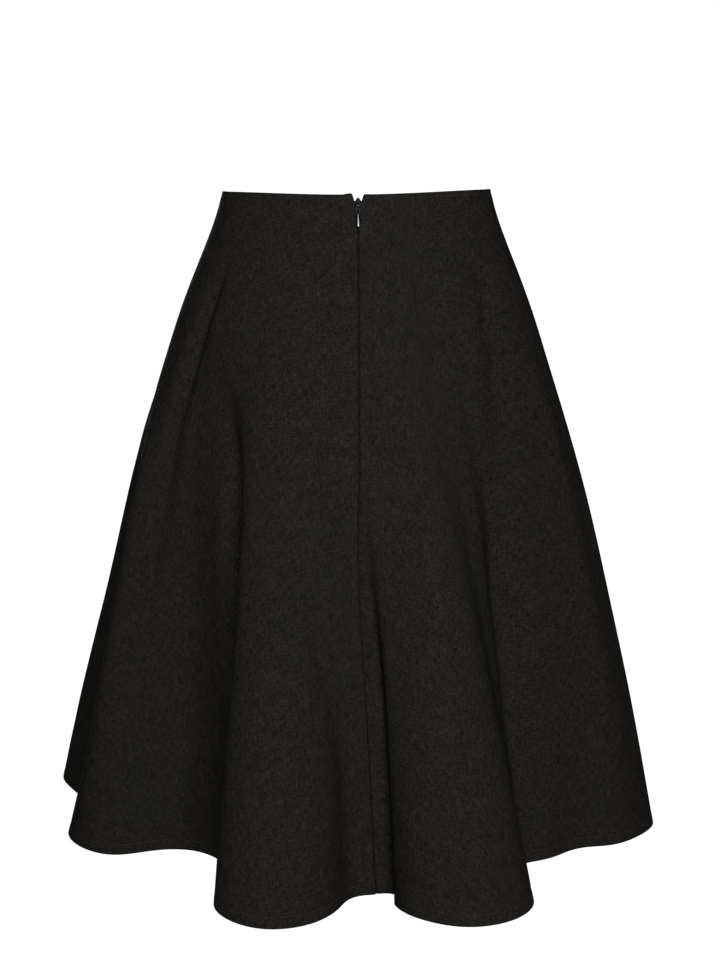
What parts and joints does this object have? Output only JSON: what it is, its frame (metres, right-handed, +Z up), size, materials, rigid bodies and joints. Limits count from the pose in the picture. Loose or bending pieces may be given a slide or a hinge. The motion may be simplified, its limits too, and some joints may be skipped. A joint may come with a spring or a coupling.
{
  "type": "flared skirt",
  "caption": "Knee-length flared skirt in black woven cloth that falls in deep soft flutes from a smooth hip, with a concealed zip at the centre back.",
  "frame": {"origin": "centre of the waist at the level of its side edges, where the skirt is held when worn", "axes": "+Z up, out of the waist; -Y to the back, where the zip is; +X to the wearer's right"},
  "size_m": [0.6196, 0.5505, 0.6355],
  "materials": {
    "cloth": "matt",
    "tape": "matt",
    "zip_metal": "gloss"
  },
  "bodies": {
    "skirt": {"front_panel": "cloth", "back_panel_left": "cloth", "back_panel_right": "cloth", "zip_tape_left": "tape", "zip_tape_right": "tape", "zip_slider": "zip_metal"},
    "pull_tab": {"zip_pull_tab": "zip_metal"}
  },
  "joints": [
    {"name": "pull_tab_swing", "type": "hinge", "parent": "skirt", "child": "pull_tab", "pos_m": [0.00173, -0.10186, -0.01307], "axis": [-1, -0.0008, -0.0036], "range_deg": [0, 120]}
  ]
}
